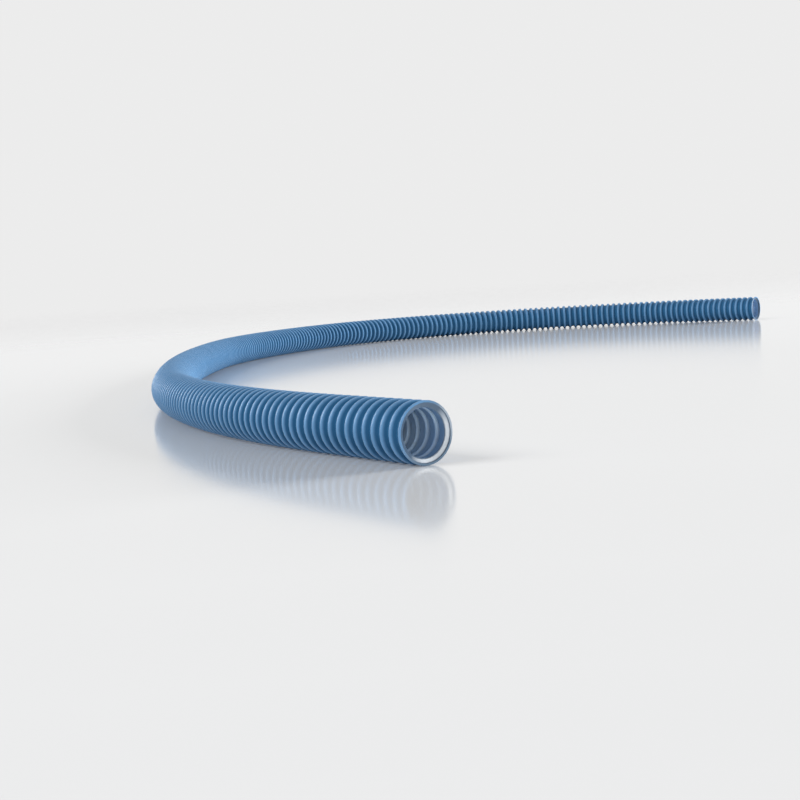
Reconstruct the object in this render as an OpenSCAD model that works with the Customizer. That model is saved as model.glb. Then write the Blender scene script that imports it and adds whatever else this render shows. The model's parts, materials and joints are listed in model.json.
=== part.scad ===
// Corrugated flexible conduit, lying in a loose open bend on the floor.
// One thin wall, rippled outside and inside, cut square at both ends.
// All sizes in millimetres. The origin is the middle of the footprint, on the floor.

/* [Section of the tube] */
// Diameter over the rib crests, the trade size of the conduit
outer_diameter = 16; // [14:0.5:20]
// How far a rib stands above the valley beside it
rib_height = 1.2; // [0.9:0.1:1.4]
// Thickness of the wall, measured square to it
wall = 0.55; // [0.4:0.05:0.7]
// Distance from one rib to the next
rib_pitch = 4; // [3.6:0.1:4.4]
// Width of the flat on top of a rib
crest_width = 1.1; // [0.9:0.05:1.3]
// Width of the flat at the bottom of a valley
valley_width = 1.5; // [1.2:0.1:1.7]

/* [Lie of the tube, from the near end] */
// Straight stretch behind the near cut end
near_straight = 40; // [28:4:60]
// Length of the first bend, measured along the tube
first_bend_length = 200; // [160:4:240]
// Radius of the first bend
first_bend_radius = 440; // [350:10:700]
// Length of the second, nearly straight bend
second_bend_length = 240; // [200:4:280]
// Radius of the second bend
second_bend_radius = 1200; // [800:20:1600]
// Length of the third bend
third_bend_length = 160; // [120:4:200]
// Radius of the third bend
third_bend_radius = 390; // [300:10:500]
// Length of the last and tightest bend
last_bend_length = 320; // [280:4:360]
// Radius of the last bend
last_bend_radius = 188; // [170:2:240]
// Straight stretch before the far cut end
far_straight = 40; // [28:4:60]

/* [Hidden] */
$fn = 48;

crest_radius = outer_diameter / 2;
valley_radius = crest_radius - rib_height;

// The lie as steps of length and radius. A radius of 0 is a straight step.
lie = [
    [near_straight, 0],
    [first_bend_length, first_bend_radius],
    [second_bend_length, second_bend_radius],
    [third_bend_length, third_bend_radius],
    [last_bend_length, last_bend_radius],
    [far_straight, 0]
];
tube_length = near_straight + first_bend_length + second_bend_length
    + third_bend_length + last_bend_length + far_straight;

// A whole number of ribs, with half a crest at each cut
rib_count = round(tube_length / rib_pitch);
spacing = tube_length / rib_count;

// The flank of a rib: how far it runs along the tube, and its slant length
flank_run = (spacing - crest_width - valley_width) / 2;
flank_slant = sqrt(flank_run * flank_run + rib_height * rib_height);

// How far a crest's edge moves in when the wall is offset by one millimetre
edge_shift = (flank_slant - flank_run) / rib_height;

// Edges of a rib's profile, measured from its middle along the tube
function half_crest(inset) = crest_width / 2 - edge_shift * inset;
function half_base(inset) = half_crest(inset) + flank_run;

// The tube turns at joint ribs and is straight between them. The joint ribs have
// collars that stand proud of the valley wall, inside and outside, by this much.
collar_step = 0.08;
// How far a collar reaches along the valley from the foot of its rib
collar_reach = 0.35;
collar_end = half_base(0) + collar_reach;
// Where a straight length ends inside a collar
buried_end = (half_base(wall) + collar_end) / 2;
// Pitches between two joint ribs
joint_every = 2;

// Where a point, a heading and a step along a straight or a right-hand bend lead to
function bend(x, y, heading, run, radius) =
    radius == 0
    ? [x + run * cos(heading), y + run * sin(heading), heading]
    : let (after = heading - run / radius * 180 / PI)
        [
            x + radius * (sin(heading) - sin(after)),
            y + radius * (cos(after) - cos(heading)),
            after
        ];

// Place and heading at a distance along the tube
function along(run, step = 0, x = 0, y = 0, heading = 90) =
    step == len(lie) - 1 || run <= lie[step][0]
    ? bend(x, y, heading, run, lie[step][1])
    : let (next = bend(x, y, heading, lie[step][0], lie[step][1]))
        along(run - lie[step][0], step + 1, next[0], next[1], next[2]);

stations = [for (i = [0 : rib_count]) along(i * spacing)];

// Where the lengths of tube begin and end: the cuts, and the joint ribs between them
near_ribs = floor(near_straight / spacing + 0.001);
far_ribs = floor(far_straight / spacing + 0.001);
breaks = concat(
    [0],
    [for (i = [near_ribs : joint_every : rib_count - far_ribs - 1]) i],
    [rib_count - far_ribs, rib_count]
);

// How far a rib reaches from its station along X and Y, for the middle of the footprint.
// At a cut there is no crest beyond the station.
function overhang(i) = i == 0 || i == rib_count ? 0 : crest_width / 2;
function reach_x(i, heading) = crest_radius * abs(sin(heading)) + overhang(i) * abs(cos(heading));
function reach_y(i, heading) = crest_radius * abs(cos(heading)) + overhang(i) * abs(sin(heading));
left = min([for (i = [0 : rib_count]) stations[i][0] - reach_x(i, stations[i][2])]);
right = max([for (i = [0 : rib_count]) stations[i][0] + reach_x(i, stations[i][2])]);
front = min([for (i = [0 : rib_count]) stations[i][1] - reach_y(i, stations[i][2])]);
back = max([for (i = [0 : rib_count]) stations[i][1] + reach_y(i, stations[i][2])]);
middle = [(left + right) / 2, (front + back) / 2];

// Sets what follows at a station of the tube, with X along the tube
module at_station(p) {
    translate([p[0], p[1], 0])
        rotate([0, 0, p[2]])
            children();
}

// Shows what follows as it is seen from a station: the opposite of at_station
module seen_from(p) {
    rotate([0, 0, -p[2]])
        translate([-p[0], -p[1], 0])
            children();
}

// Turns a profile of radius and distance about the X axis
module turned(profile) {
    rotate([0, 90, 0])
        rotate_extrude()
            polygon(profile);
}

// One face of the wall over a rib, as radius and distance along the tube
function over_rib(inset, at) = [
    [valley_radius - inset, at - half_base(inset)],
    [crest_radius - inset, at - half_crest(inset)],
    [crest_radius - inset, at + half_crest(inset)],
    [valley_radius - inset, at + half_base(inset)]
];

// The same over half a rib, from its flank to the cut at the middle of its crest
function up_to_cut(inset, at) = [
    [valley_radius - inset, at - half_base(inset)],
    [crest_radius - inset, at - half_crest(inset)],
    [crest_radius - inset, at]
];
function down_from_cut(inset) = [
    [crest_radius - inset, 0],
    [crest_radius - inset, half_crest(inset)],
    [valley_radius - inset, half_base(inset)]
];

function backwards(list) = [for (i = [len(list) - 1 : -1 : 0]) list[i]];

// One face of the wall over a straight length. A length that starts or ends at
// a cut has half a rib there, and any other is buried in the joint's collar.
function over_length(inset, reach, pitches, from_cut, to_cut) = concat(
    from_cut ? down_from_cut(inset) : [[valley_radius - inset, buried_end]],
    [for (k = [1 : 1 : pitches - 1]) each over_rib(inset, k * reach / pitches)],
    to_cut ? up_to_cut(inset, reach) : [[valley_radius - inset, reach - buried_end]]
);

// A straight length of rippled tube between two stations
module straight_length(first, last) {
    from = stations[first];
    to = stations[last];
    reach = norm([to[0] - from[0], to[1] - from[1]]);
    heading = atan2(to[1] - from[1], to[0] - from[0]);
    from_cut = first == 0;
    to_cut = last == rib_count;
    outside = over_length(0, reach, last - first, from_cut, to_cut);
    inside = over_length(wall, reach, last - first, from_cut, to_cut);
    at_station([from[0], from[1], heading])
        rotate([90, 0, 0])
            turned(concat(outside, backwards(inside)));
}

// One face of a joint rib's wall, with a collar at each foot. Proud is the collar's
// step: outwards on the outside of the wall and inwards on the inside.
function over_joint(inset, proud) =
    let (
        foot = valley_radius - inset + proud,
        half_foot = half_base(inset) - flank_run * proud / rib_height
    )
    [
        [foot, -collar_end],
        [foot, -half_foot],
        [crest_radius - inset, -half_crest(inset)],
        [crest_radius - inset, half_crest(inset)],
        [foot, half_foot],
        [foot, collar_end]
    ];

// A rib at which the tube turns, with its collars
module joint_rib() {
    turned(concat(over_joint(0, collar_step), backwards(over_joint(wall, -collar_step))));
}

// The tube between two breaks, joined half to half at the joint rib between them.
// Each join is made with the joint rib lying along X.
module tube(first, last) {
    if (last == first + 1) {
        straight_length(breaks[first], breaks[last]);
    } else {
        half = floor((first + last) / 2);
        joint = stations[breaks[half]];
        at_station(joint) {
            seen_from(joint)
                tube(first, half);
            joint_rib();
            seen_from(joint)
                tube(half, last);
        }
    }
}

module conduit() {
    color([0.25, 0.47, 0.68])
        translate([-middle[0], -middle[1], crest_radius])
            tube(0, len(breaks) - 1);
}

conduit();
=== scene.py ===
"""Flexible conduit: one metre of blue corrugated tube, lying in a loose bend on a pale floor.

Laid out as an add-on. The tube is a tree of geometry nodes, and the studio is a floor, soft lights
and a camera.
"""

import json
import math

import bpy
from mathutils import Matrix, Vector


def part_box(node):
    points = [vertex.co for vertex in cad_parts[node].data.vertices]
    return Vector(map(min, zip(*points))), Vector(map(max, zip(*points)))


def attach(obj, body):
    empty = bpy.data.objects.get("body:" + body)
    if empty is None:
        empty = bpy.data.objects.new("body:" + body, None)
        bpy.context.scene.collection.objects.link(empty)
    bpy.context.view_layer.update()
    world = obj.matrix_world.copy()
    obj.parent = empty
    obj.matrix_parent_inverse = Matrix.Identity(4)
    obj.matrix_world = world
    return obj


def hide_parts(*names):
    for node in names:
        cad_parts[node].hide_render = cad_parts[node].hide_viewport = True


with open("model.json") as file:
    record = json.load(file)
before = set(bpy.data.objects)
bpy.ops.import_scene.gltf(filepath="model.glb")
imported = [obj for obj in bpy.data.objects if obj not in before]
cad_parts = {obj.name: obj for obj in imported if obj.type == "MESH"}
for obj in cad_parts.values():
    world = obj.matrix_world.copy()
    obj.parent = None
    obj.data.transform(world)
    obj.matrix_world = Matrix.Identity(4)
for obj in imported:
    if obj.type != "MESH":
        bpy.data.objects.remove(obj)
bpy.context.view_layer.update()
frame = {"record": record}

bl_info = {
    "name": "Flexible Conduit",
    "version": (1, 0, 0),
    "blender": (4, 5, 0),
    "location": "3D View > Sidebar > Conduit",
    "description": "Builds a corrugated flexible conduit and the studio that it lies in",
    "category": "Add Mesh",
}

MM = 0.001
NODE = "conduit"

# The lie of the tube from its near end: name, length and radius of each step. All bends turn right.
LIE = (
    ("Near Straight", 40 * MM, None),
    ("First Bend", 200 * MM, 440 * MM),
    ("Second Bend", 240 * MM, 1200 * MM),
    ("Third Bend", 160 * MM, 390 * MM),
    ("Last Bend", 320 * MM, 188 * MM),
    ("Far Straight", 40 * MM, None),
)
TUBE_LENGTH = sum(length for _, length, _ in LIE)

# What the frame says of the tube: its height is its diameter, and its near mount is the middle of the
# near straight, with an axis that points out of the tube
TUBE_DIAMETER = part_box(NODE)[1].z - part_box(NODE)[0].z
NEAR_MOUNT = next(mount for mount in frame["record"]["mounts"] if mount["name"] == "near_end")
NEAR_AXIS = Vector(NEAR_MOUNT["axis"])
NEAR_END = Vector(NEAR_MOUNT["pos_m"]) + LIE[0][1] / 2 * NEAR_AXIS
NEAR_HEADING = math.atan2(-NEAR_AXIS.y, -NEAR_AXIS.x)

# Names of the values that the tube keeps for its finish. The part of the wall is 0 on the outside.
RIB_SHARE = "rib_share"
ALONG_TUBE = "along_tube"
TO_RIGHT = "to_right"
TO_TOP = "to_top"
WALL_PART = "wall_part"
BORE_PART = 1.0
CUT_PART = 2.0

# The map for baking: its name, its rows of bands on the outside and in all, and the gap at the sides
# of a row. The bore's band with the near mouth's painted light is counted from the near cut, and it
# gets the room of a few bands.
BAKE_MAP = "OFBake"
OUTSIDE_ROWS = 4
MAP_ROWS = 6
ROW_GAP = 0.012
PAINTED_LIGHT_BAND = 2
PAINTED_LIGHT_ROOM = 4
FACE_CORNERS = 4

# Points closer than this are one point
MERGE_DISTANCE = 0.001 * MM

# Edges that turn by more than this stay sharp: the cuts, and the edges of the bore's grooves
SHARP_EDGE = math.radians(45)

# Where a Mix node has its factor, its two colours and its mixed colour
MIX_FACTOR = 0
MIX_FIRST = 6
MIX_SECOND = 7
MIX_RESULT = 2


class Wire:
    """An output socket of a node, on which sums are written as sums."""

    def __init__(self, tree, socket):
        self.tree = tree
        self.socket = socket

    def __add__(self, other):
        return self.tree.math("ADD", self, other)

    def __radd__(self, other):
        return self.tree.math("ADD", other, self)

    def __sub__(self, other):
        return self.tree.math("SUBTRACT", self, other)

    def __rsub__(self, other):
        return self.tree.math("SUBTRACT", other, self)

    def __mul__(self, other):
        return self.tree.math("MULTIPLY", self, other)

    def __rmul__(self, other):
        return self.tree.math("MULTIPLY", other, self)

    def __truediv__(self, other):
        return self.tree.math("DIVIDE", self, other)

    def __rtruediv__(self, other):
        return self.tree.math("DIVIDE", other, self)

    def __floordiv__(self, other):
        return self.tree.whole_share(self, other)

    def __rfloordiv__(self, other):
        return self.tree.whole_share(other, self)

    def __mod__(self, other):
        return self.tree.math("MODULO", self, other)

    def __rmod__(self, other):
        return self.tree.math("MODULO", other, self)

    def __abs__(self):
        return self.tree.math("ABSOLUTE", self)

    def __lt__(self, other):
        return self.tree.math("LESS_THAN", self, other)

    def __gt__(self, other):
        return self.tree.math("GREATER_THAN", self, other)

    def between(self, low, high):
        """The value, held between two limits."""
        return self.tree.math("MINIMUM", self.tree.math("MAXIMUM", self, low), high)

    def rise(self, start, end):
        """How far the value has come from a start to an end, which may be lower, from 0 to 1."""
        return ((self - start) / (end - start)).between(0.0, 1.0)

    def reaches(self, count):
        """1 where the value, a whole number, is this count or more, and 0 elsewhere."""
        return self > count - 0.5

    def beside(self, out):
        """Another output of the same node."""
        return Wire(self.tree, self.socket.node.outputs[out])


class Tree:
    """A node tree in the making. One method adds any node, and outputs come back as wires."""

    def __init__(self, node_tree):
        self.nodes = node_tree.nodes
        self.links = node_tree.links

    def node(self, kind, settings=None, sockets=None, out=0):
        """Adds a node, sets it up, fills its sockets, and gives the output that is asked for."""
        made = self.nodes.new(kind)
        for name, value in (settings or {}).items():
            setattr(made, name, value)
        for name, value in (sockets or {}).items():
            if isinstance(value, Wire):
                self.links.new(value.socket, made.inputs[name])
            else:
                made.inputs[name].default_value = value
        return Wire(self, made.outputs[out]) if made.outputs else None

    def math(self, operation, *values):
        """One step of a sum."""
        return self.node("ShaderNodeMath", {"operation": operation}, dict(enumerate(values)))

    def whole_share(self, count, share):
        """How often a share goes into a count. Half a step keeps rounding errors out of it."""
        return self.math("FLOOR", (count + 0.5) / share)

    def vector(self, x, y, z):
        """A place from its three coordinates."""
        return self.node("ShaderNodeCombineXYZ", None, {"X": x, "Y": y, "Z": z})

    def mix_colour(self, share, first, second):
        """From the first colour to the second as the share goes from 0 to 1."""
        first, second = (end if isinstance(end, Wire) else rgba(end) for end in (first, second))
        ends = {MIX_FACTOR: share, MIX_FIRST: first, MIX_SECOND: second}
        return self.node("ShaderNodeMix", {"data_type": "RGBA"}, ends, out=MIX_RESULT)


def rgba(colour):
    """A colour as sockets take it, with its alpha."""
    return (*colour, 1.0)


def new_material(name):
    """An empty material, and its tree."""
    material = bpy.data.materials.new(name)
    material.use_nodes = True
    material.node_tree.nodes.clear()
    return material, Tree(material.node_tree)


# The tube


class ConduitSizes(bpy.types.PropertyGroup):
    """Sizes of the tube, which has the section and the length of the solid that it stands for."""

    outer_diameter: bpy.props.FloatProperty(
        name="Outer Diameter",
        description="Diameter over the rib crests",
        default=TUBE_DIAMETER,
        unit="LENGTH",
    )
    rib_height: bpy.props.FloatProperty(
        name="Rib Height",
        description="How far a rib stands above the valley beside it",
        default=1.2 * MM,
        unit="LENGTH",
    )
    wall: bpy.props.FloatProperty(
        name="Wall",
        description="Thickness of the wall, measured square to it",
        default=0.55 * MM,
        unit="LENGTH",
    )
    crest_width: bpy.props.FloatProperty(
        name="Crest Width",
        description="Width of the flat on top of a rib",
        default=1.1 * MM,
        unit="LENGTH",
    )
    valley_width: bpy.props.FloatProperty(
        name="Valley Width",
        description="Width of the flat at the bottom of a valley",
        default=1.5 * MM,
        unit="LENGTH",
    )
    edge_rounding: bpy.props.FloatProperty(
        name="Edge Rounding",
        description="How far from its edges the flank of a rib is rounded off",
        default=0.2 * MM,
        unit="LENGTH",
    )
    rib_count: bpy.props.IntProperty(
        name="Rib Count",
        description="Ribs from cut to cut, with half a rib at each cut",
        default=250,
    )
    sides: bpy.props.IntProperty(
        name="Sides",
        description="Faces round the tube",
        default=32,
    )


class ConduitFinish(bpy.types.PropertyGroup):
    """Colours and gloss of the plastic, among them the colours of its painted light and shade."""

    # The crests are coloured lighter than the valleys: painted light on the ribs
    crest_blue: bpy.props.FloatVectorProperty(
        name="Crest Blue",
        description="Colour of the outside on the ribs",
        default=(0.085, 0.205, 0.375),
        subtype="COLOR",
    )
    # Painted shade: the valleys are coloured darker where shade falls between the ribs
    valley_shade_blue: bpy.props.FloatVectorProperty(
        name="Valley Blue",
        description="Deeper colour of the outside in the valleys",
        default=(0.021, 0.104, 0.225),
        subtype="COLOR",
    )
    # Partly real wear on the rubbed crests, partly a painted sheen; also the painted light on the lit
    # side of the cuts
    rubbed_and_lit_blue: bpy.props.FloatVectorProperty(
        name="Rubbed Blue",
        description="Paler colour of the crests where they are rubbed",
        default=(0.150, 0.325, 0.57),
        subtype="COLOR",
    )
    # Painted shade on the cut's lower right side
    cut_shade_grey: bpy.props.FloatVectorProperty(
        name="Cut Grey",
        description="Dull colour of the wall where it is cut",
        default=(0.16, 0.24, 0.34),
        subtype="COLOR",
    )
    # Painted shade just inside each cut, where the rim shades the bore
    mouth_shade_blue: bpy.props.FloatVectorProperty(
        name="Mouth Blue",
        description="Dark colour of the bore just inside a cut",
        default=(0.07, 0.115, 0.18),
        subtype="COLOR",
    )
    groove_grey: bpy.props.FloatVectorProperty(
        name="Groove Grey",
        description="Colour of the bore's grooves and their flanks",
        default=(0.44, 0.58, 0.75),
        subtype="COLOR",
    )
    # Painted shade on the bore's lands
    land_shade_grey: bpy.props.FloatVectorProperty(
        name="Land Grey",
        description="Darker colour of the bore's lands, along which cables are drawn",
        default=(0.207, 0.347, 0.555),
        subtype="COLOR",
    )
    # Painted light further into the bore and on its upper side
    inner_lit_pale: bpy.props.FloatVectorProperty(
        name="Inner Pale",
        description="Paler colour that the bore nears further in and on its less scuffed upper side",
        default=(0.64, 0.82, 0.97),
        subtype="COLOR",
    )
    # Painted light on the cut and in the near mouth
    painted_light_white: bpy.props.FloatVectorProperty(
        name="Cut White",
        description="Colour of the near mouth where the cut has whitened it",
        default=(0.86, 0.92, 0.98),
        subtype="COLOR",
    )
    roughness: bpy.props.FloatProperty(
        name="Roughness",
        description="Roughness of the satin plastic on the crests",
        default=0.36,
        subtype="FACTOR",
    )


def place_on_lie(run):
    """The place at a distance along the middle of the tube, worked out with numbers."""
    x, y, heading = NEAR_END.x, NEAR_END.y, NEAR_HEADING
    for _, length, radius in LIE:
        here = min(max(run, 0.0), length)
        run -= length
        if radius is None:
            x += here * math.cos(heading)
            y += here * math.sin(heading)
            continue
        after = heading - here / radius
        x += radius * (math.sin(heading) - math.sin(after))
        y += radius * (math.cos(after) - math.cos(heading))
        heading = after
    return Vector((x, y, NEAR_END.z))


def lie_field(tree, run, lengths, radii):
    """X, Y and heading at a distance along the tube, as wires: every step of the lie adds its share."""
    x, y = NEAR_END.x, NEAR_END.y
    heading_before = NEAR_HEADING
    heading = NEAR_HEADING
    start = 0.0
    for length, radius in zip(lengths, radii):
        here = (run - start).between(0.0, length)
        start = start + length
        if radius is None:
            x = x + here * tree.math("COSINE", heading_before)
            y = y + here * tree.math("SINE", heading_before)
            continue
        after = heading_before - here / radius
        x = x + radius * (tree.math("SINE", heading_before) - tree.math("SINE", after))
        y = y + radius * (tree.math("COSINE", after) - tree.math("COSINE", heading_before))
        heading = heading - here / radius
        heading_before = heading_before - length / radius
    return x, y, heading


def rib_corners(tree, pitch, rib_height, wall, crest_width, valley_width, rounding):
    """Corners of half a rib from its crest down, on the outside and in the bore.

    Each is a distance from the middle of the rib and a share of its height.
    """
    half_crest = crest_width / 2
    flank_run = (pitch - crest_width - valley_width) / 2
    slant = tree.math("SQRT", flank_run * flank_run + rib_height * rib_height)
    half_base = half_crest + flank_run
    down_flank = rounding / slant
    outside_corners = (
        (half_crest - rounding, 1.0),
        (half_crest + flank_run * down_flank, 1.0 - down_flank),
        (half_base - flank_run * down_flank, down_flank),
        (half_base + rounding, 0.0),
    )
    inset = wall * (slant - flank_run) / rib_height
    bore_corners = ((half_crest - inset, 1.0), (half_base - inset, 0.0))
    return outside_corners, bore_corners


def rib_field(tree, ring, corners, pitch, total):
    """Distance along the tube and share of the rib's height, for a ring counted from the near cut.

    Every rib has one ring at each corner on either side of its middle. The rings next to the middle
    count as half a step from it.
    """
    rings_per_pitch = 2 * len(corners)
    from_middle = ring - 0.5
    rib = tree.math("ROUND", from_middle / rings_per_pitch)
    fold = from_middle - rib * rings_per_pitch
    away, share = corners[0]
    for step, (corner, after) in enumerate(zip(corners, corners[1:])):
        passed = (abs(fold) - (step + 0.5)).between(0.0, 1.0)
        away = away + (after[0] - corner[0]) * passed
        share = share + (after[1] - corner[1]) * passed
    run = rib * pitch + tree.math("SIGN", fold) * away
    return run.between(0.0, total), share


def band_map(tree, grid, index, sides, loop, outside_rings, row_bands):
    """Places on the map for baking: the bands between rings lie side by side, in rows of whole ribs.

    The outside comes first and ends in the far cut. The bore follows and ends in the near cut.
    """
    along = tree.node("ShaderNodeSeparateXYZ", None, {"Vector": grid.beside("UV Map")}, out="X")
    across = along.beside("Y")
    band = index // FACE_CORNERS // sides
    in_bore = band.reaches(outside_rings)
    place = band - outside_rings * in_bore
    row = place // row_bands
    from_near_cut = loop - 1 - band
    past_white = 1 - from_near_cut.reaches(PAINTED_LIGHT_BAND)
    on_white = from_near_cut.reaches(PAINTED_LIGHT_BAND) - from_near_cut.reaches(PAINTED_LIGHT_BAND + 1)
    room = 1 + (PAINTED_LIGHT_ROOM - 1) * on_white
    step = place - row * row_bands + (PAINTED_LIGHT_ROOM - 1) * past_white + room * (along * loop - band)
    rows_before = row + OUTSIDE_ROWS * in_bore
    return tree.vector(
        step / row_bands,
        (rows_before + ROW_GAP + (1 - 2 * ROW_GAP) * across) / MAP_ROWS,
        0.0,
    )


def keep(tree, geometry, name, value, domain="POINT", kind="FLOAT"):
    """The geometry with a named value stored on it."""
    return tree.node(
        "GeometryNodeStoreNamedAttribute",
        {"data_type": kind, "domain": domain},
        {"Geometry": geometry, "Name": name, "Value": value},
    )


def tube_tree(sizes, outside_finish, bore_finish):
    """The node tree of the tube, and the values of its inputs by their sockets' identifiers."""
    group = bpy.data.node_groups.new("Corrugated Tube", "GeometryNodeTree")
    tree = Tree(group)
    values = {}
    entry = group.nodes.new("NodeGroupInput")

    def named_input(name, value, kind="NodeSocketFloat"):
        socket = group.interface.new_socket(name=name, in_out="INPUT", socket_type=kind)
        values[socket.identifier] = value
        return Wire(tree, entry.outputs[socket.identifier])

    diameter = named_input("Outer Diameter", sizes.outer_diameter)
    rib_height = named_input("Rib Height", sizes.rib_height)
    wall = named_input("Wall", sizes.wall)
    crest_width = named_input("Crest Width", sizes.crest_width)
    valley_width = named_input("Valley Width", sizes.valley_width)
    rounding = named_input("Edge Rounding", sizes.edge_rounding)
    rib_count = named_input("Rib Count", sizes.rib_count, "NodeSocketInt")
    sides = named_input("Sides", sizes.sides, "NodeSocketInt")
    lengths = []
    radii = []
    for name, length, radius in LIE:
        lengths.append(named_input(name + " Length", length))
        radii.append(None if radius is None else named_input(name + " Radius", radius))
    outside_material = named_input("Outside Finish", outside_finish, "NodeSocketMaterial")
    bore_material = named_input("Bore Finish", bore_finish, "NodeSocketMaterial")

    total = sum(lengths[1:], lengths[0])
    pitch = total / rib_count
    outside_corners, bore_corners = rib_corners(
        tree, pitch, rib_height, wall, crest_width, valley_width, rounding
    )

    # The wall is one closed loop of rings: along the outside to the far cut, and back along the bore.
    # Either way there are two rings to each corner of every rib, and one more at each cut.
    outside_rings = 2 * len(outside_corners) * rib_count + 2
    bore_rings = 2 * len(bore_corners) * rib_count + 2
    loop = outside_rings + bore_rings
    columns = sides + 1
    counts = {"Vertices X": loop + 1, "Vertices Y": columns}
    grid = tree.node("GeometryNodeMeshGrid", None, counts, out="Mesh")
    index = tree.node("GeometryNodeInputIndex")
    grid_row = index // columns
    column = index - grid_row * columns
    ring = grid_row % loop
    outside = 1 - ring.reaches(outside_rings)
    out_run, out_share = rib_field(tree, ring, outside_corners, pitch, total)
    bore_run, bore_share = rib_field(tree, loop - 1 - ring, bore_corners, pitch, total)

    run = bore_run + (out_run - bore_run) * outside
    share = bore_share + (out_share - bore_share) * outside
    radius = diameter / 2 - rib_height * (1.0 - share) - wall * (1.0 - outside)
    x, y, heading = lie_field(tree, run, lengths, radii)
    turn = column / sides * (2 * math.pi)
    to_right = tree.math("COSINE", turn)
    to_top = tree.math("SINE", turn)
    sideways = radius * to_right
    place = tree.vector(
        x + sideways * tree.math("SINE", heading),
        y - sideways * tree.math("COSINE", heading),
        diameter / 2 + radius * to_top,
    )

    # A band lies between a ring and the next. The cuts are the last bands of the outside and the bore.
    band = index // sides
    in_bore = band.reaches(outside_rings) - band.reaches(loop - 1)
    on_cut = band.reaches(outside_rings - 1) - in_bore
    row_bands = 2 * len(outside_corners) * tree.math("CEIL", (rib_count + 1) / OUTSIDE_ROWS)
    map_places = band_map(tree, grid, index, sides, loop, outside_rings, row_bands)
    tube = keep(tree, grid, RIB_SHARE, share)
    tube = keep(tree, tube, ALONG_TUBE, run)
    tube = keep(tree, tube, TO_RIGHT, to_right)
    tube = keep(tree, tube, TO_TOP, to_top)
    tube = keep(tree, tube, WALL_PART, BORE_PART * in_bore + CUT_PART * on_cut, "FACE")
    tube = keep(tree, tube, BAKE_MAP, map_places, "CORNER", "FLOAT2")

    tube = tree.node("GeometryNodeSetPosition", None, {"Geometry": tube, "Position": place})
    tube = tree.node(
        "GeometryNodeMergeByDistance",
        None,
        {"Geometry": tube, "Distance": MERGE_DISTANCE},
    )
    tube = tree.node(
        "GeometryNodeSetShadeSmooth",
        {"domain": "FACE"},
        {"Geometry": tube, "Shade Smooth": True},
    )
    edge_angle = tree.node("GeometryNodeInputMeshEdgeAngle")
    tube = tree.node(
        "GeometryNodeSetShadeSmooth",
        {"domain": "EDGE"},
        {"Geometry": tube, "Selection": edge_angle > SHARP_EDGE, "Shade Smooth": False},
    )
    tube = tree.node("GeometryNodeRealizeInstances", None, {"Geometry": tube})
    tube = tree.node("GeometryNodeSetMaterial", None, {"Geometry": tube, "Material": outside_material})
    part = tree.node("GeometryNodeInputNamedAttribute", {"data_type": "FLOAT"}, {"Name": WALL_PART})
    tube = tree.node(
        "GeometryNodeSetMaterial",
        None,
        {
            "Geometry": tube,
            "Selection": part.reaches(BORE_PART) - part.reaches(CUT_PART),
            "Material": bore_material,
        },
    )
    group.interface.new_socket(name="Tube", in_out="OUTPUT", socket_type="NodeSocketGeometry")
    tree.node("NodeGroupOutput", None, {"Tube": tube})
    return group, values


def mesh_from_tree(name, group, values):
    """An object with the plain mesh that a tree makes."""
    piece = bpy.data.objects.new(name, bpy.data.meshes.new(name))
    bpy.context.scene.collection.objects.link(piece)
    modifier = piece.modifiers.new("Tube", "NODES")
    modifier.node_group = group
    for identifier, value in values.items():
        modifier[identifier] = value
    depsgraph = bpy.context.evaluated_depsgraph_get()
    mesh = bpy.data.meshes.new_from_object(piece.evaluated_get(depsgraph), depsgraph=depsgraph)
    if mesh.materials[0] is None:
        mesh.materials.pop(index=0)
    piece.modifiers.remove(modifier)
    piece.data = mesh
    mesh.name = name
    return piece


# The finish of the tube

# Strength of the plastic's gloss, where 0.5 is that of clear plastic
PLASTIC_GLOSS = 0.15

# Spots to a metre in the noises, and how fine their detail is: broad clouds outside and in the bore,
# and a fine grain
OUTSIDE_CLOUDS = 90.0
BORE_CLOUDS = 160.0
CLOUD_DETAIL = 3.0
GRAIN_SPOTS = 2600.0
GRAIN_DETAIL = 2.0

# Where a rib goes from the valley's painted shade to the crest's lighter colour, and from unrubbed to
# rubbed with a painted sheen, as shares of its height. The first differs a little from rib to rib.
SHADED_VALLEY_TO_LIT_CREST = (0.55, 0.95)
RIB_DIFFERENCE = 0.1
UNRUBBED_TO_RUBBED_SHEEN = (0.75, 1.0)

# How far the crests are rubbed and given a painted sheen, and how much of that comes and goes with the
# clouds and the grain
RUBBING_AND_SHEEN = 0.40
CLOUD_RUBBING_AND_SHEEN = 0.9
GRAIN_RUBBING_AND_SHEEN = 0.3

# What the valleys, the clouds and the grain add to the roughness of the outside, and the grain's bumps
VALLEY_ROUGHNESS = 0.14
CLOUD_ROUGHNESS = 0.10
GRAIN_ROUGHNESS = 0.08
GRAIN_BUMP = 0.12
GRAIN_HEIGHT = 0.05 * MM

# Sides of the tube: the turn from the right towards the top, and how far towards that side, from -1
# to 1, a painted colour starts and is whole. They are where the cut gets painted shade, where it gets
# painted light, where the near mouth gets painted light, and where the bore gets painted light on its
# upper side.
SHADED_CUT = (math.radians(-40), -0.6, 0.0)
LIT_CUT = (math.radians(20), 0.74, 0.94)
LIT_MOUTH = (math.radians(-40), 0.0, 0.6)
UPPER_LIT_BORE = (math.radians(65), 0.1, 0.7)

# How much painted light the cut and the mouth get on those sides
CUT_PAINTED_LIGHT = 0.35
MOUTH_PAINTED_LIGHT = 0.2

# Where the bore goes from the lands' painted shade to the groove's colour, as shares of the height,
# with what the clouds add to it
SHADED_LAND_TO_GROOVE = (0.0, 1 / 3)
GROOVE_CLOUDS = 1 / 6

# The depths between which the bore gets paler with painted light further in, and how pale it gets
DEPTH_TO_PAINTED_LIGHT = (4 * MM, 16 * MM)
INNER_PAINTED_LIGHT = 0.6

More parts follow.
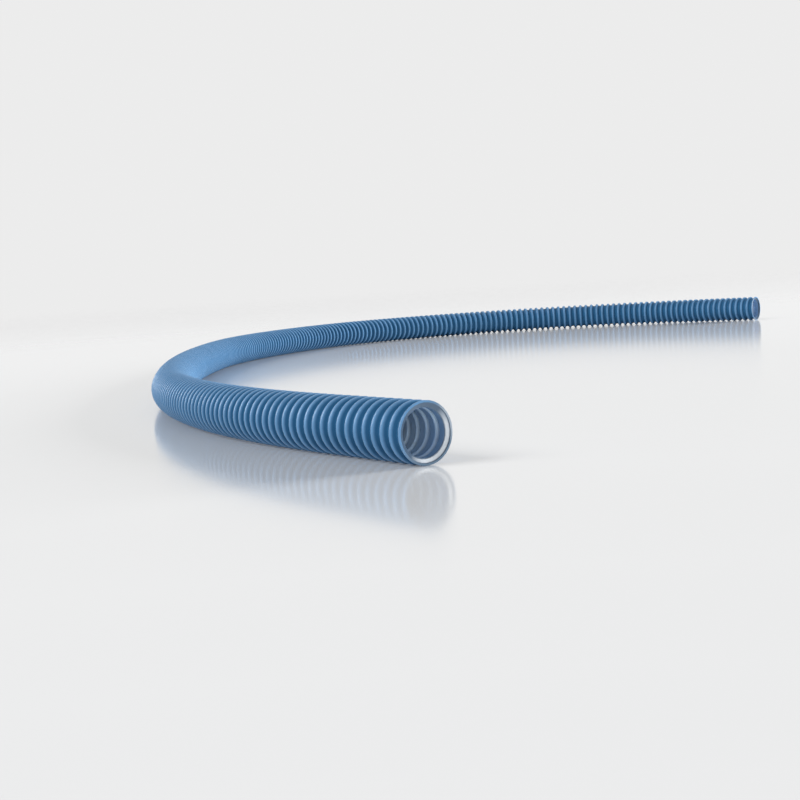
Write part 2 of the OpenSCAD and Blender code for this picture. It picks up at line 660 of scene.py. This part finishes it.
# How deep the painted shade of a mouth reaches and how soft its edge is, and between which heights the
# near one gets painted light
MOUTH_DEPTH = 1.0 * MM
MOUTH_EDGE = 0.1 * MM
WHITE_FROM_LAND = (0.07, 0.27)
WHITE_TO_CREST = (0.98, 0.78)

# What the bore and its clouds add to the roughness
BORE_ROUGHNESS = 0.08
BORE_CLOUD_ROUGHNESS = 0.15


def end_in_plastic(tree, sockets):
    """Ends a material's tree in the shader of a plastic, with these values of its sockets."""
    sockets = {"Specular IOR Level": PLASTIC_GLOSS, **sockets}
    shader = tree.node("ShaderNodeBsdfPrincipled", None, sockets, out="BSDF")
    tree.node("ShaderNodeOutputMaterial", None, {"Surface": shader})


def attribute(tree, name):
    """A value that the tube keeps."""
    return tree.node("ShaderNodeAttribute", {"attribute_name": name}, None, out="Fac")


def on_side(tree, side):
    """How far the painted colour of a side reaches here, from 0 to 1."""
    turn, start, whole = side
    towards = math.cos(turn) * attribute(tree, TO_RIGHT) + math.sin(turn) * attribute(tree, TO_TOP)
    return towards.rise(start, whole)


def noise(tree, spots, detail):
    """A soft noise fixed to the tube, from -0.5 to 0.5."""
    place = tree.node("ShaderNodeTexCoord", None, None, out="Object")
    sockets = {"Vector": place, "Scale": spots, "Detail": detail}
    return tree.node("ShaderNodeTexNoise", None, sockets) - 0.5


def blue_plastic(finish, pitch):
    """Satin blue plastic with painted shade in the valleys, crests rubbed paler with a painted sheen,
    uneven by ribs, and a cut with painted shade on its lower right and painted light on its upper
    right.
    """
    material, tree = new_material("conduit_blue_plastic")
    share = attribute(tree, RIB_SHARE)
    rib = tree.math("ROUND", attribute(tree, ALONG_TUBE) / pitch)
    rib_tone = tree.node("ShaderNodeTexWhiteNoise", {"noise_dimensions": "1D"}, {"W": rib})
    cloud = noise(tree, OUTSIDE_CLOUDS, CLOUD_DETAIL)
    grain = noise(tree, GRAIN_SPOTS, GRAIN_DETAIL)

    # Painted shade in the valleys and painted light on the crests
    lit = (share + RIB_DIFFERENCE * rib_tone).rise(*SHADED_VALLEY_TO_LIT_CREST)
    colour = tree.mix_colour(lit, finish.valley_shade_blue, finish.crest_blue)
    # Rubbed wear and a painted sheen on the crests
    rubbing_and_sheen = RUBBING_AND_SHEEN + CLOUD_RUBBING_AND_SHEEN * cloud + GRAIN_RUBBING_AND_SHEEN * grain
    rubbed_and_sheen = (share.rise(*UNRUBBED_TO_RUBBED_SHEEN) * rubbing_and_sheen).between(0.0, 1.0)
    colour = tree.mix_colour(rubbed_and_sheen, colour, finish.rubbed_and_lit_blue)

    # Painted shade on the cut's lower right, painted light on its upper right
    cut_colour = tree.mix_colour(on_side(tree, SHADED_CUT), finish.rubbed_and_lit_blue, finish.cut_shade_grey)
    cut_painted_light = CUT_PAINTED_LIGHT * on_side(tree, LIT_CUT)
    cut_colour = tree.mix_colour(cut_painted_light, cut_colour, finish.painted_light_white)
    on_cut = attribute(tree, WALL_PART).reaches(CUT_PART)
    colour = tree.mix_colour(on_cut, colour, cut_colour)

    roughness = finish.roughness + VALLEY_ROUGHNESS * (1.0 - share)
    roughness = roughness + CLOUD_ROUGHNESS * cloud + GRAIN_ROUGHNESS * grain
    bump = {"Strength": GRAIN_BUMP, "Distance": GRAIN_HEIGHT, "Height": grain}
    normal = tree.node("ShaderNodeBump", None, bump)
    end_in_plastic(tree, {"Base Color": colour, "Roughness": roughness, "Normal": normal})
    return material


def bore_plastic(finish):
    """The skin of the bore: grooves, with painted shade on the lands and in the mouths, painted light
    further in and on the upper side, and painted light on the near mouth's lower right.
    """
    material, tree = new_material("conduit_bore_skin")
    share = attribute(tree, RIB_SHARE)
    along = attribute(tree, ALONG_TUBE)
    from_cut = tree.math("MINIMUM", along, TUBE_LENGTH - along)
    cloud = noise(tree, BORE_CLOUDS, CLOUD_DETAIL)
    upper_lit = on_side(tree, UPPER_LIT_BORE)

    # Painted shade on the lands, with the grooves paler
    groove = (share + GROOVE_CLOUDS * cloud).rise(*SHADED_LAND_TO_GROOVE)
    colour = tree.mix_colour(groove, finish.land_shade_grey, finish.groove_grey)
    # Painted light: the bore gets paler further in and on its upper side
    deeper = INNER_PAINTED_LIGHT * from_cut.rise(*DEPTH_TO_PAINTED_LIGHT)
    paleness = tree.math("MAXIMUM", deeper, upper_lit * groove)
    colour = tree.mix_colour(paleness, colour, finish.inner_lit_pale)

    # Painted shade in the mouth, with painted light on its upper side
    mouth_colour = tree.mix_colour(MOUTH_PAINTED_LIGHT * upper_lit, finish.mouth_shade_blue, finish.groove_grey)
    # Painted light: the near mouth's first flank is painted white on its lower right
    white_heights = share.rise(*WHITE_FROM_LAND) * share.rise(*WHITE_TO_CREST)
    mouth_painted_light = on_side(tree, LIT_MOUTH) * white_heights * (along < MOUTH_DEPTH)
    mouth_colour = tree.mix_colour(mouth_painted_light, mouth_colour, finish.painted_light_white)
    at_mouth = from_cut.rise(MOUTH_DEPTH, MOUTH_DEPTH - MOUTH_EDGE)
    colour = tree.mix_colour(at_mouth, colour, mouth_colour)

    roughness = finish.roughness + BORE_ROUGHNESS + BORE_CLOUD_ROUGHNESS * cloud
    end_in_plastic(tree, {"Base Color": colour, "Roughness": roughness})
    return material


class CONDUIT_OT_tube(bpy.types.Operator):
    """Make the corrugated tube, which is one piece of stock"""

    bl_idname = "conduit.tube"
    bl_label = "Make the Tube"

    def execute(self, context):
        sizes = context.scene.conduit_sizes
        finish = context.scene.conduit_finish
        pitch = TUBE_LENGTH / sizes.rib_count
        group, values = tube_tree(sizes, blue_plastic(finish, pitch), bore_plastic(finish))
        tube = mesh_from_tree("conduit_tube", group, values)
        glossed_pieces().objects.link(tube)
        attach(tube, "root")
        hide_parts(NODE)
        path = [place_on_lie(rib * pitch) for rib in range(sizes.rib_count + 1)]
        return {"FINISHED"}


# The studio

# Soft lights round the tube: azimuth from +X and elevation in degrees, and power in watts
SOFT_LIGHTS = (
    ("left_key", 165, 36, 128.0),
    ("right_fill", -14, 11, 262.0),
    ("front_fill", 250, 6, 44.0),
)

# One more light, from behind, that only shines on the gloss of what is in its collection
GLOSS_LIGHT = ("back_gloss", 124, 24, 125.0)
GLOSSED = "glossed_pieces"

# The place that the lights face, and their distance from it and their width
LIT_PLACE = Vector((-0.2, 0.0, 0.01))
LIGHT_DISTANCE = 4.0
LIGHT_SIZE = 2.0

# The floor is whole this far from the middle, and fades away up to its end
FLOOR_WHOLE = 0.6
FLOOR_END = 3.5
FLOOR_SIDES = 64

SURROUND_WHITE = (1.0, 1.0, 1.0)

# The camera's sensor, in the millimetres that cameras are set in, and the nearest thing that it sees
SENSOR_WIDTH = 36.0
NEAREST_SEEN = 5 * MM


class StudioSettings(bpy.types.PropertyGroup):
    """The floor, the lights and the camera."""

    floor_colour: bpy.props.FloatVectorProperty(
        name="Floor Colour",
        description="Colour of the pale glossy floor",
        default=(0.78, 0.785, 0.79),
        subtype="COLOR",
    )
    floor_roughness: bpy.props.FloatProperty(
        name="Floor Roughness",
        description="How blurred the floor's reflection is",
        default=0.12,
        subtype="FACTOR",
    )
    surround_seen: bpy.props.FloatProperty(
        name="Surround Seen",
        description="Brightness of the pale surround as it is seen",
        default=0.84,
    )
    surround_light: bpy.props.FloatProperty(
        name="Surround Light",
        description="Brightness of the pale surround as it lights the tube and the floor",
        default=0.30,
    )
    light_level: bpy.props.FloatProperty(
        name="Light Level",
        description="Level of all the soft lights together",
        default=1.0,
    )
    camera_place: bpy.props.FloatVectorProperty(
        name="Camera Place",
        description="Where the camera stands",
        default=(-0.48855, -0.57400, 0.04678),
        subtype="TRANSLATION",
        unit="LENGTH",
        precision=5,
    )
    camera_turn: bpy.props.FloatProperty(
        name="Camera Turn",
        description="How far the view is turned from +Y towards +X",
        default=math.radians(34.224),
        unit="ROTATION",
    )
    camera_dip: bpy.props.FloatProperty(
        name="Camera Dip",
        description="How far the view looks down",
        default=math.radians(4.935),
        unit="ROTATION",
    )
    camera_roll: bpy.props.FloatProperty(
        name="Camera Roll",
        description="How far the camera's right side hangs down",
        default=math.radians(3.461),
        unit="ROTATION",
    )
    camera_lens: bpy.props.FloatProperty(
        name="Lens",
        description="Focal length on a sensor 36 mm wide",
        default=65.84,
    )


def floor_finish(studio):
    """A pale gloss that fades into the surround far from the tube."""
    material, tree = new_material("floor_gloss")
    gloss = tree.node(
        "ShaderNodeBsdfPrincipled",
        None,
        {"Base Color": rgba(studio.floor_colour), "Roughness": studio.floor_roughness},
        out="BSDF",
    )
    clear = tree.node("ShaderNodeBsdfTransparent")
    place = tree.node("ShaderNodeTexCoord", None, None, out="Object")
    away = tree.node("ShaderNodeVectorMath", {"operation": "LENGTH"}, {0: place}, out="Value")
    left = away.rise(FLOOR_END, FLOOR_WHOLE)
    mixed = tree.node("ShaderNodeMixShader", None, {0: 1.0 - left * left, 1: gloss, 2: clear})
    tree.node("ShaderNodeOutputMaterial", None, {"Surface": mixed})
    return material


def make_floor(studio):
    """A round flat floor at the height that the tube lies on."""
    mesh = bpy.data.meshes.new("studio_floor")
    turns = [2 * math.pi * step / FLOOR_SIDES for step in range(FLOOR_SIDES)]
    rim = [(FLOOR_END * math.cos(turn), FLOOR_END * math.sin(turn), 0.0) for turn in turns]
    mesh.from_pydata(rim, [], [range(FLOOR_SIDES)])
    mesh.materials.append(floor_finish(studio))
    floor = bpy.data.objects.new("studio_floor", mesh)
    bpy.context.scene.collection.objects.link(floor)


def make_surround(studio):
    """A pale surround, which the eye and the gloss see brighter than it lights the tube."""
    world = bpy.data.worlds.new("studio_surround")
    world.use_nodes = True
    world.node_tree.nodes.clear()
    tree = Tree(world.node_tree)
    seen = tree.node("ShaderNodeLightPath", None, None, out="Is Camera Ray")
    bright = tree.math("MAXIMUM", seen, seen.beside("Is Glossy Ray"))
    level = studio.surround_light + (studio.surround_seen - studio.surround_light) * bright
    sockets = {"Color": rgba(SURROUND_WHITE), "Strength": level}
    shade = tree.node("ShaderNodeBackground", None, sockets)
    tree.node("ShaderNodeOutputWorld", None, {"Surface": shade})
    bpy.context.scene.world = world


def make_light(name, azimuth, elevation, power):
    """A square soft light that faces the tube and is seen neither directly nor mirrored."""
    light = bpy.data.lights.new(name, "AREA")
    light.size = LIGHT_SIZE
    light.energy = power
    lamp = bpy.data.objects.new(name, light)
    turn = math.radians(azimuth)
    rise = math.radians(elevation)
    flat = math.cos(rise)
    away = Vector((math.cos(turn) * flat, math.sin(turn) * flat, math.sin(rise)))
    lamp.location = LIT_PLACE + LIGHT_DISTANCE * away
    lamp.rotation_euler = away.to_track_quat("Z", "Y").to_euler()
    lamp.visible_camera = False
    lamp.visible_glossy = False
    bpy.context.scene.collection.objects.link(lamp)
    return lamp


def glossed_pieces():
    """The collection of the pieces that the gloss light shines on."""
    return bpy.data.collections.get(GLOSSED) or bpy.data.collections.new(GLOSSED)


def make_gloss_light(level):
    """A soft light that only shines on the ribs' gloss. The floor isn't in its collection."""
    name, azimuth, elevation, power = GLOSS_LIGHT
    lamp = make_light(name, azimuth, elevation, power * level)
    lamp.visible_glossy = True
    lamp.visible_diffuse = False
    lamp.light_linking.receiver_collection = glossed_pieces()


def make_camera(studio):
    """The camera, turned, dipped and rolled in that order."""
    data = bpy.data.cameras.new("camera")
    data.sensor_width = SENSOR_WIDTH
    data.lens = studio.camera_lens
    data.clip_start = NEAREST_SEEN
    camera = bpy.data.objects.new("camera", data)
    turn = Matrix.Rotation(-studio.camera_turn, 4, "Z")
    dip = Matrix.Rotation(math.pi / 2 - studio.camera_dip, 4, "X")
    roll = Matrix.Rotation(-studio.camera_roll, 4, "Z")
    camera.matrix_world = Matrix.Translation(studio.camera_place) @ turn @ dip @ roll
    bpy.context.scene.collection.objects.link(camera)
    bpy.context.scene.camera = camera


class CONDUIT_OT_studio(bpy.types.Operator):
    """Make the pale floor, the soft lights and the camera"""

    bl_idname = "conduit.studio"
    bl_label = "Make the Studio"

    def execute(self, context):
        studio = context.scene.conduit_studio
        context.scene.view_settings.view_transform = "Standard"
        make_floor(studio)
        make_surround(studio)
        for name, azimuth, elevation, power in SOFT_LIGHTS:
            make_light(name, azimuth, elevation, power * studio.light_level)
        make_gloss_light(studio.light_level)
        make_camera(studio)
        return {"FINISHED"}


class CONDUIT_PT_panel(bpy.types.Panel):
    """The conduit's settings, and the buttons that make it."""

    bl_idname = "CONDUIT_PT_panel"
    bl_label = "Flexible Conduit"
    bl_space_type = "VIEW_3D"
    bl_region_type = "UI"
    bl_category = "Conduit"

    def draw(self, context):
        layout = self.layout
        for name, operator in (
            ("conduit_sizes", CONDUIT_OT_tube.bl_idname),
            ("conduit_finish", None),
            ("conduit_studio", CONDUIT_OT_studio.bl_idname),
        ):
            group = getattr(context.scene, name)
            box = layout.box()
            for key in group.__annotations__:
                box.prop(group, key)
            if operator:
                box.operator(operator)


CLASSES = (
    ConduitSizes,
    ConduitFinish,
    StudioSettings,
    CONDUIT_OT_tube,
    CONDUIT_OT_studio,
    CONDUIT_PT_panel,
)


def register():
    """Adds the classes, and the settings that scenes get."""
    for cls in CLASSES:
        bpy.utils.register_class(cls)
    bpy.types.Scene.conduit_sizes = bpy.props.PointerProperty(type=ConduitSizes)
    bpy.types.Scene.conduit_finish = bpy.props.PointerProperty(type=ConduitFinish)
    bpy.types.Scene.conduit_studio = bpy.props.PointerProperty(type=StudioSettings)


def unregister():
    """Takes away what register adds."""
    del bpy.types.Scene.conduit_studio
    del bpy.types.Scene.conduit_finish
    del bpy.types.Scene.conduit_sizes
    for cls in reversed(CLASSES):
        bpy.utils.unregister_class(cls)


def main():
    """Makes the studio and the tube."""
    register()
    bpy.ops.conduit.studio()
    bpy.ops.conduit.tube()


if __name__ == "__main__":
    main()
